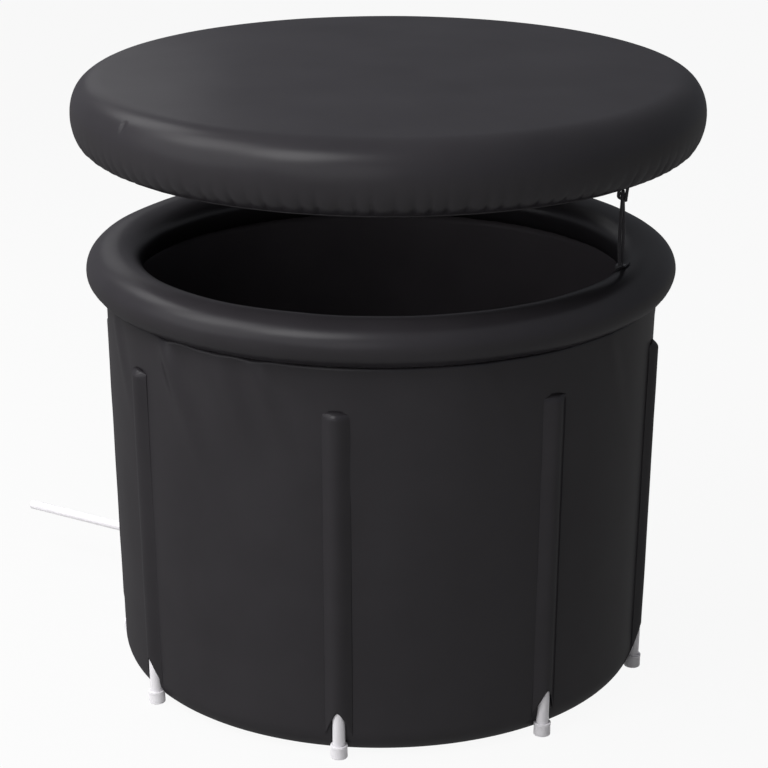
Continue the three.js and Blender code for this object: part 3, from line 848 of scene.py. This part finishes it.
def makeLiner():
    seat = lining["floor"] + lining["corner"]
    centre = wallRadius(seat) - lining["inset"] - lining["corner"]
    rows = lining["floorRows"]
    profile = [(centre * step / rows, lining["floor"]) for step in range(rows)]
    for step in range(lining["cornerRows"]):
        a = (step / lining["cornerRows"] - 1) * math.pi / 2
        profile.append((centre + lining["corner"] * math.cos(a), seat + lining["corner"] * math.sin(a)))
    for step in range(lining["rows"] + 1):
        z = seat + (lining["top"] - seat) * step / lining["rows"]
        profile.append((wallRadius(z) - lining["inset"], z))
    bm = spinProfile(profile, lining["steps"])
    faceOutwards(bm, outwards=False)
    for vert in bm.verts:
        azimuth = azimuthOf(vert.co)
        z = vert.co.z
        ease = smoothStep(seat, seat + lining["easeLow"], z)
        ease *= smoothStep(lining["top"], lining["top"] - lining["easeHigh"], z)
        fullness = lining["billowMean"] + waveAt(lining["billowSpread"], azimuth, z)
        inwards = lining["billow"] * ease * fullness
        vert.co = atAzimuth(azimuth, vert.co.xy.length - inwards, z)
    lined = makePiece("tubLiner", bm, liner, "tub", ["inner_liner"], sharp=60)
    addThickness(lined, lining["skin"])


def makeFloorPanel():
    low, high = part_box("floor_panel")
    thick = high.z - low.z
    edge = high.x
    band = [(edge - inset, rise) for inset, rise in panel["band"]]
    profile = [(0, 0), *band, (edge - panel["round"], 0), (edge, panel["round"]), (edge, thick), (0, thick)]
    bm = spinProfile(profile, panel["steps"])
    makePiece("floorPanel", bm, laminate, "tub", ["floor_panel"], sharp=30)


makeLiner()
makeFloorPanel()
print("liner and floor made")

# poles, foot caps and sleeves
pole = {
    "radius": 0.010, "bore": 0.008, "top": 0.567,
    "gap": 0.0003, "soft": 0.0006, "steps": 48,
    "capRadius": 0.0135, "capHeight": 0.021, "capFloor": 0.004, "capSocket": 0.0103,
    "capFootInset": 0.0006, "capFootRise": 0.0012, "capTaper": 0.0004, "capBand": 0.0045,
    "capBandEdge": 0.005,
    "capSoft": 0.0010, "capSharp": 25,
}
pole["lift"] = pole["capRadius"] * math.sin(math.atan(wall["slope"]))
sleeve = {
    "over": 0.0117, "halfWidth": 0.0218, "fullness": 1.25, "foot": 0.0006, "skin": 0.0011,
    "top": 0.574, "arch": 0.005,
    "mouth": 0.080, "mouthDrop": 0.044, "mouthPoint": 1.5,
    "dome": 0.012, "domePower": 2.2,
    "across": 48, "along": 110, "rowEase": 0.25, "ripple": 0.0005, "rippleScale": (60, 14, 5.7),
}


def poleFrame(index):
    lean = Matrix.Rotation(math.atan(wall["slope"]), 4, "X")
    out = Matrix.Translation((0, -wall["footRadius"], 0))
    return Matrix.Rotation(poleAngle(index), 4, "Z") @ out @ lean


def sleeveRise(v):
    across = min(abs(v) / sleeve["halfWidth"], 1)
    return sleeve["foot"] + (sleeve["over"] - sleeve["foot"]) * (1 - across * across) ** sleeve["fullness"]


def cornerInset(z):
    below = max(wall["corner"] - z, 0)
    return wall["corner"] - math.sqrt(wall["corner"] ** 2 - below ** 2)


def makeSleeve(index):
    bm = bmesh.new()
    ease = sleeve["rowEase"]
    acrossScale, alongScale, indexScale = sleeve["rippleScale"]
    bmesh.ops.create_grid(bm, x_segments=sleeve["across"], y_segments=sleeve["along"], size=0.5)
    for vert in bm.verts:
        share = 2 * vert.co.x
        v = share * sleeve["halfWidth"]
        low = sleeve["mouth"] - sleeve["mouthDrop"] * abs(share) ** sleeve["mouthPoint"]
        high = sleeve["top"] - sleeve["arch"] * share * share
        t = vert.co.y + 0.5
        z = low + (high - low) * ((1 + ease) * t - ease * t * t * t)
        end = max(z - high + sleeve["dome"], 0) / sleeve["dome"]
        rise = sleeve["foot"] + (sleeveRise(v) - sleeve["foot"]) * (1 - end ** sleeve["domePower"])
        spot = Vector((v * acrossScale, z * alongScale, index * indexScale))
        rise += sleeve["ripple"] * noise.noise(spot)
        bow = v * v / (2 * wall["footRadius"])
        vert.co = (v, bow - rise + cornerInset(z), z)
    bmesh.ops.recalc_face_normals(bm, faces=bm.faces[:])
    if sum(face.normal.y for face in bm.faces) > 0:
        bmesh.ops.reverse_faces(bm, faces=bm.faces[:])
    place(bm, poleFrame(index))
    number = index + 1
    strip = makePiece(f"poleSleeve{number}", bm, laminate, "tub", [f"pole_sleeve_{number}"], sharp=80)
    addThickness(strip, sleeve["skin"])


def makePole(index):
    number = index + 1
    lift = pole["lift"]
    foot = lift + pole["capFloor"] + pole["gap"]
    outline = tubeOutline(pole["radius"], pole["bore"], foot, pole["top"])
    bm = spinSolid(outline, pole["steps"], pole["soft"], closed=True)
    place(bm, poleFrame(index))
    makePiece(f"supportPole{number}", bm, whitePlastic, "tub", [f"support_pole_{number}"])
    r = pole["capRadius"]
    h = pole["capHeight"]
    outline = [(0, 0), (r - pole["capFootInset"], 0), (r, pole["capFootRise"]),
               (r - pole["capTaper"], h - pole["capBandEdge"]), (r, h - pole["capBand"]), (r, h),
               (pole["capSocket"], h), (pole["capSocket"], pole["capFloor"]), (0, pole["capFloor"])]
    outline = [(x, z + lift) for x, z in outline]
    bm = spinSolid(outline, pole["steps"], pole["capSoft"], sharper=pole["capSharp"])
    place(bm, poleFrame(index))
    makePiece(f"footCap{number}", bm, whitePlastic, "tub", [f"foot_cap_{number}"])


for poleIndex in range(len(poleAngles)):
    makeSleeve(poleIndex)
    makePole(poleIndex)
print("poles, caps and sleeves made")

# tether hardware: toggle, bar on the rim and the welded patch under it
anchor = {
    "length": 0.015, "width": 0.012, "cuts": 5, "soft": 0.0008, "sharp": 45,
    "patchLength": 0.022, "patchWidth": 0.026, "patchCells": 24,
    "toggleEnd": 0.55, "toggleRound": 0.92, "toggleRoundRun": 0.35, "toggleWaist": 0.86,
    "toggleSteps": 32,
}


def makeTetherHardware():
    half = tether["toggleLength"] / 2
    r = tether["toggleDiameter"] / 2
    end = r * anchor["toggleEnd"]
    bend = r * anchor["toggleRound"]
    run = r * anchor["toggleRoundRun"]
    waist = r * anchor["toggleWaist"]
    outline = [(0, -half), (end, -half), (bend, -half + run), (r, -half + r), (waist, 0),
               (r, half - r), (bend, half - run), (end, half), (0, half)]
    bm = spinProfile(outline, anchor["toggleSteps"])
    turned = Matrix.Rotation(math.radians(tether["turns"]["toggle"]), 4, "Z")
    tilted = Matrix.Rotation(math.pi / 2 + math.radians(tether["toggleTilt"]), 4, "Y")
    place(bm, Matrix.Translation(atTether(0, 0, toggleHeight)) @ tetherTurn @ turned @ tilted)
    makePiece("toggleBar", bm, blackPlastic, "toggle", ["toggle_bar"], sharp=50)

    bm = bmesh.new()
    bmesh.ops.create_grid(bm, x_segments=anchor["patchCells"], y_segments=anchor["patchCells"], size=0.5)
    lift = tether["gap"] + tether["patchThickness"]
    for vert in bm.verts:
        u = vert.co.x * anchor["patchLength"]
        v = vert.co.y * anchor["patchWidth"]
        radius = math.hypot(tetherRadius + u, v)
        vert.co = atTether(u, v, rimSurface(radius) + lift)
    if bm.faces[:][0].normal.z < 0:
        bmesh.ops.reverse_faces(bm, faces=bm.faces[:])
    patch = makePiece("anchorPatch", bm, laminate, "tub", ["rim_anchor_patch"])
    addThickness(patch, tether["patchThickness"])

    bm = bmesh.new()
    bmesh.ops.create_cube(bm, size=1)
    bmesh.ops.subdivide_edges(bm, edges=bm.edges[:], cuts=anchor["cuts"], use_grid_fill=True)
    for vert in bm.verts:
        u = vert.co.x * anchor["length"]
        v = vert.co.y * anchor["width"]
        under = rimSurface(math.hypot(tetherRadius + u, v)) + lift + tether["gap"]
        vert.co = atTether(u, v, under + (anchorTop - under) * (vert.co.z + 0.5))
    softenEdges(bm, anchor["soft"], sharper=anchor["sharp"])
    makePiece("anchorBar", bm, barPlasticPaintedLight, "tub", ["rim_anchor_bar"])


makeTetherHardware()
print("toggle, bar and patch made")

# air valves: welded base with a bore, and a plug cap with a pull tab
valve = {
    "flange": 0.017, "flangeThickness": 0.0025,
    "collar": 0.010, "collarDepth": 0.011, "bore": 0.007,
    "plug": 0.0067, "plugDepth": 0.008,
    "cap": 0.012, "capThickness": 0.004,
    "tabReach": 0.021, "tabWidth": 0.010, "tabLift": 0.7, "tabRound": 0.45,
    "gap": 0.0003, "baseSoft": 0.0007, "capSoft": 0.0010, "tabSoft": 0.0005, "steps": 48,
}


def makeAirValve(name, body, capBody, face, nodes):
    back = -valve["collarDepth"]
    outline = [(valve["bore"], 0), (valve["flange"], 0), (valve["flange"], -valve["flangeThickness"]),
               (valve["collar"], -valve["flangeThickness"]), (valve["collar"], back), (valve["bore"], back)]
    bm = spinSolid(outline, valve["steps"], valve["baseSoft"], closed=True)
    place(bm, face)
    makePiece(name + "Base", bm, blackPlastic, body, nodes[:1])
    thick = valve["capThickness"]
    low = valve["gap"]
    high = low + thick
    outline = [(0, -valve["plugDepth"]), (valve["plug"], -valve["plugDepth"]), (valve["plug"], low),
               (valve["cap"], low), (valve["cap"], high), (0, high)]
    bm = spinSolid(outline, valve["steps"], valve["capSoft"])
    reach = valve["tabReach"]
    width = valve["tabWidth"]
    tab = makeTongue((reach, width, thick / 2), (reach / 2, 0, low + thick * valve["tabLift"]), 0,
                     valve["cap"], width * valve["tabRound"], valve["tabSoft"])
    addBody(bm, tab)
    place(bm, face)
    makePiece(name + "Cap", bm, blackPlastic, capBody, nodes[1:])


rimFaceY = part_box("rim_valve_base")[1].y
rimFace = Matrix.Translation((0, rimFaceY, rim["height"])) @ Matrix.Rotation(-math.pi / 2, 4, "X")
makeAirValve("rimValve", "tub", "rim_cap", rimFace, ["rim_valve_base", "rim_valve_cap"])
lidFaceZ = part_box("lid_valve_base")[0].z
lidFace = Matrix.Translation((*lid["centre"].xy, lidFaceZ)) @ Matrix.Rotation(math.pi, 4, "X")
makeAirValve("lidValve", "lid", "lid_cap", lidFace, ["lid_valve_base", "lid_valve_cap"])
print("air valves made")

# drain: wall fitting, quarter-turn valve, lever and pipe, drawn along the pipe and turned to -X
drain = {
    "height": 0.092, "gap": 0.0003, "steps": 64, "smallSteps": 48,
    "soft": 0.0008, "fineSoft": 0.0005, "thinSoft": 0.0004,
    "thread": 0.0125, "bore": 0.0085, "flange": 0.029, "flangeThickness": 0.004,
    "strainer": 0.023, "strainerRim": 0.006, "strainerHub": 0.0018, "hubSteps": 24,
    "hoops": (0.0125, 0.0065), "hoopWidth": 0.0025, "spokes": 3, "spokeWidth": 0.0024,
    "spokeInset": 0.004, "spokeThinner": 0.0006,
    "nutFlats": 0.038, "nutChamfer": 0.0015, "nutSteps": 96, "nutSharp": 25,
    "neck": 0.017, "neckRun": 0.008, "threadRun": 0.012,
    "body": 0.018, "bodySoft": 0.0009, "ballRoom": 0.0123, "taper": 0.004,
    "outlet": 0.012, "lip": 0.0012, "lipRun": 0.004, "socket": 0.0083, "socketRun": 0.018,
    "channel": 0.006,
    "boss": 0.008, "bossFoot": 0.012, "bossDrop": 0.007, "stem": 0.004, "stemSteps": 32,
    "pipe": 0.008, "pipeBore": 0.006,
}
lever = {"hub": 0.009, "hubSoft": 0.0010, "width": 0.012, "thickness": 0.86, "round": 0.48, "soft": 0.0008}
drainFrame = Matrix.Translation((0, 0, drain["height"])) @ Matrix.Rotation(-math.pi / 2, 4, "Y")
threadRoom = drain["thread"] + drain["gap"]


def alongPipe(node):
    low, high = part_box(node)
    return -high.x, -low.x


def makeDrainPiece(name, outline, finish, node, soft):
    bm = spinSolid(outline, drain["steps"], soft, closed=True)
    place(bm, drainFrame)
    makePiece(name, bm, finish, "tub", [node])


# the gasket's face follows the round wall, and clamp keeps it on its own side
def makeGasket(name, node, outer, wallSide, clamp):
    start, end = alongPipe(node)
    outline = tubeOutline(outer, threadRoom, start, end)
    bm = spinSolid(outline, drain["steps"], drain["fineSoft"], closed=True)
    place(bm, drainFrame)
    for vert in bm.verts:
        vert.co.x = clamp(vert.co.x, -math.sqrt(wallSide ** 2 - vert.co.y ** 2))
    makePiece(name, bm, rubber, "tub", [node])


def hexRadius(x, y):
    corner = math.pi / 3
    turn = math.atan2(y, x) + corner / 2
    return drain["nutFlats"] / 2 / math.cos(turn % corner - corner / 2)


def makeLockNut():
    start, end = alongPipe("drain_lock_nut")
    full = drain["nutFlats"] / math.sqrt(3)
    chamfer = drain["nutChamfer"]
    outline = [(threadRoom, start), (full - chamfer, start), (full, start + chamfer),
               (full, end - chamfer), (full - chamfer, end), (threadRoom, end)]
    bm = spinProfile(outline, drain["nutSteps"], closed=True)
    for vert in bm.verts:
        limit = hexRadius(vert.co.x, vert.co.y)
        if vert.co.xy.length > limit:
            vert.co.xy *= limit / vert.co.xy.length
    softenEdges(bm, drain["thinSoft"], 2, drain["nutSharp"])
    place(bm, drainFrame)
    makePiece("drainLockNut", bm, blackPlastic, "tub", ["drain_lock_nut"], sharp=drain["nutSharp"])


def makeStrainer():
    start, end = alongPipe("drain_strainer")
    edge = drain["strainer"]
    outline = tubeOutline(edge, edge - drain["strainerRim"], start, end)
    bm = spinSolid(outline, drain["steps"], drain["soft"], closed=True)
    for outer in drain["hoops"]:
        outline = tubeOutline(outer, outer - drain["hoopWidth"], start, end)
        addBody(bm, spinSolid(outline, drain["steps"], drain["fineSoft"], closed=True))
    addBody(bm, spinProfile(rodOutline(drain["strainerHub"], start, end), drain["hubSteps"]))
    size = (2 * edge - 2 * drain["spokeInset"], drain["spokeWidth"], end - start - drain["spokeThinner"])
    for spoke in range(drain["spokes"]):
        turn = Matrix.Rotation(spoke * math.pi / drain["spokes"], 3, "Z")
        bar = makeBar(size)
        bmesh.ops.rotate(bar, matrix=turn, verts=bar.verts[:])
        bmesh.ops.translate(bar, vec=(0, 0, (start + end) / 2), verts=bar.verts[:])
        softenEdges(bar, drain["thinSoft"], 2)
        addBody(bm, bar)
    place(bm, drainFrame)
    makePiece("drainStrainer", bm, blackPlastic, "tub", ["drain_strainer"])


def makeValveBody(centre, stemTop):
    start, end = alongPipe("drain_valve_body")
    room = drain["ballRoom"]
    outlet = drain["outlet"]
    lip = outlet + drain["lip"]
    lipStart = end - drain["lipRun"]
    socketEnd = end - drain["socketRun"]
    threadEnd = start + drain["threadRun"]
    outline = [(threadRoom, start), (drain["neck"], start), (drain["neck"], start + drain["neckRun"]),
               (drain["body"], centre - room), (drain["body"], centre + room),
               (outlet, centre + room + drain["taper"]), (outlet, lipStart), (lip, lipStart), (lip, end),
               (drain["socket"], end), (drain["socket"], socketEnd), (drain["channel"], socketEnd),
               (drain["channel"], threadEnd), (threadRoom, threadEnd)]
    bm = spinSolid(outline, drain["steps"], drain["bodySoft"], closed=True)
    outline = tubeOutline(drain["boss"], drain["stem"] + drain["gap"], drain["bossFoot"],
                          stemTop - drain["height"] - drain["bossDrop"])
    boss = spinSolid(outline, drain["smallSteps"], drain["soft"], closed=True)
    place(boss, Matrix.Translation((0, 0, centre)) @ Matrix.Rotation(math.pi / 2, 4, "Y"))
    addBody(bm, boss)
    place(bm, drainFrame)
    makePiece("drainValveBody", bm, whitePlastic, "tub", ["drain_valve_body"])


def makeLever(centre, stemLow, stemHigh):
    outline = rodOutline(drain["stem"], stemLow, stemHigh)
    stem = spinSolid(outline, drain["stemSteps"], drain["fineSoft"])
    place(stem, Matrix.Translation((-centre, 0, 0)))
    makePiece("drainStem", stem, whitePlastic, "lever", ["drain_stem"])
    low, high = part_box("drain_lever")
    hub = spinSolid(rodOutline(lever["hub"], low.z, high.z), drain["smallSteps"], lever["hubSoft"])
    place(hub, Matrix.Translation((-centre, 0, 0)))
    width = lever["width"]
    size = (width, high.y, (high.z - low.z) * lever["thickness"])
    middle = (-centre, high.y / 2, (low.z + high.z) / 2)
    addBody(hub, makeTongue(size, middle, 1, width, width * lever["round"], lever["soft"]))
    makePiece("drainLever", hub, blackPlastic, "lever", ["drain_lever"])


def makeDrain():
    outside = wallRadius(drain["height"])
    inside = outside - lining["inset"]
    makeGasket("drainInnerGasket", "drain_inner_gasket", drain["flange"], inside - drain["gap"], max)
    makeGasket("drainOuterGasket", "drain_outer_gasket", drain["nutFlats"] / 2, outside + drain["gap"], min)
    start, end = alongPipe("drain_flange")
    face = start + drain["flangeThickness"]
    outline = [(drain["bore"], start), (drain["flange"], start), (drain["flange"], face),
               (drain["thread"], face), (drain["thread"], end), (drain["bore"], end)]
    makeDrainPiece("drainFlange", outline, blackPlastic, "drain_flange", drain["soft"])
    makeStrainer()
    makeLockNut()
    stemLow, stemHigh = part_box("drain_stem")
    centre = -(stemLow.x + stemHigh.x) / 2
    makeValveBody(centre, stemHigh.z)
    makeLever(centre, stemLow.z, stemHigh.z)
    outline = tubeOutline(drain["pipe"], drain["pipeBore"], *alongPipe("drain_pipe"))
    makeDrainPiece("drainPipe", outline, whitePlastic, "drain_pipe", drain["thinSoft"])


makeDrain()
print("drain made")

# solids that stay hidden inside keep their shape and take a finish
keptFinish = {
    "wall_foam": foam,
    "floor_foam": foam,
    "lid_web_inner": liner,
    "lid_web_outer": liner,
    "drain_ball": whitePlastic,
}
for node, finish in keptFinish.items():
    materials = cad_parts[node].data.materials
    materials.clear()
    materials.append(finish[0])

# studio: pale floor and surround, soft lamps in front and on the left
studio = {
    "ambient": 0.09,
    "skyTone": (0.90, 0.92, 1.0),
    "floorRadius": 9.0,
    "floorTone": (0.48, 0.48, 0.48),
    "floorGlow": 0.93,
    "floorRoughness": 0.9,
    "floorGloss": 0.1,
    "floorSides": 96,
    "floorDrop": 0.0005,
    "aim": (0, 0, 0.55),
}
# azimuth and elevation in degrees, distance, size, power
lamps = {
    "backLamp": (-128, 24, 3.4, 1.2, 8),
    "sideLamp": (-92, 44, 3.4, 1.4, 34),
    "highLamp": (-50, 48, 3.4, 1.6, 38),
    "topLamp": (-4, 49, 3.4, 1.6, 57),
    "frontLamp": (-36, 26, 4.6, 4.4, 84),
    "fillLamp": (12, 15, 4.6, 3.0, 34),
}


def backgroundRay(nodes, links):
    rays = nodes.new("ShaderNodeLightPath").outputs
    seen = rays["Is Camera Ray"]
    for kind in ("Is Glossy Ray", "Is Transmission Ray"):
        either = nodes.new("ShaderNodeMath")
        either.operation = "MAXIMUM"
        links.new(seen, either.inputs[0])
        links.new(rays[kind], either.inputs[1])
        seen = either.outputs[0]
    return seen


def makeWorld():
    world = bpy.data.worlds.new("studioWorld")
    scene.world = world
    world.use_nodes = True
    nodes, links = world.node_tree.nodes, world.node_tree.links
    light = nodes["Background"]
    light.inputs["Color"].default_value = (1, 1, 1, 1)
    light.inputs["Strength"].default_value = studio["ambient"]
    sky = nodes.new("ShaderNodeBackground")
    sky.inputs["Color"].default_value = (*studio["skyTone"], 1)
    sky.inputs["Strength"].default_value = 1
    mix = nodes.new("ShaderNodeMixShader")
    links.new(backgroundRay(nodes, links), mix.inputs["Fac"])
    links.new(light.outputs["Background"], mix.inputs[1])
    links.new(sky.outputs["Background"], mix.inputs[2])
    links.new(mix.outputs["Shader"], nodes["World Output"].inputs["Surface"])


def makeStudioFloor():
    material, nodes, links, shader = startMaterial("studioFloor")
    shader.inputs["Base Color"].default_value = (*studio["floorTone"], 1)
    shader.inputs["Roughness"].default_value = studio["floorRoughness"]
    shader.inputs["Specular IOR Level"].default_value = studio["floorGloss"]
    glow = nodes.new("ShaderNodeEmission")
    glow.inputs["Strength"].default_value = 1
    share = nodes.new("ShaderNodeMath")
    share.operation = "MULTIPLY"
    share.inputs[1].default_value = studio["floorGlow"]
    links.new(backgroundRay(nodes, links), share.inputs[0])
    blend = nodes.new("ShaderNodeMixShader")
    links.new(share.outputs[0], blend.inputs["Fac"])
    links.new(shader.outputs["BSDF"], blend.inputs[1])
    links.new(glow.outputs["Emission"], blend.inputs[2])
    links.new(blend.outputs["Shader"], nodes["Material Output"].inputs["Surface"])
    bm = bmesh.new()
    bmesh.ops.create_circle(bm, cap_ends=True, segments=studio["floorSides"], radius=studio["floorRadius"])
    bmesh.ops.translate(bm, vec=(0, 0, -studio["floorDrop"]), verts=bm.verts[:])
    mesh = bpy.data.meshes.new("studioFloor")
    bm.to_mesh(mesh)
    bm.free()
    mesh.materials.append(material)
    floor = bpy.data.objects.new("studioFloor", mesh)
    scene.collection.objects.link(floor)


def makeLamp(name, azimuth, elevation, distance, size, power):
    lamp = bpy.data.lights.new(name, "AREA")
    lamp.shape = "DISK"
    lamp.size = size
    lamp.energy = power
    aim = Vector(studio["aim"])
    raised = math.radians(elevation)
    spot = atAzimuth(math.radians(azimuth), distance * math.cos(raised), distance * math.sin(raised))
    stand = bpy.data.objects.new(name, lamp)
    stand.location = aim + spot
    stand.rotation_euler = (aim - stand.location).to_track_quat("-Z", "Y").to_euler()
    scene.collection.objects.link(stand)


makeWorld()
makeStudioFloor()
for lampName, lampValues in lamps.items():
    makeLamp(lampName, *lampValues)
print("studio made")
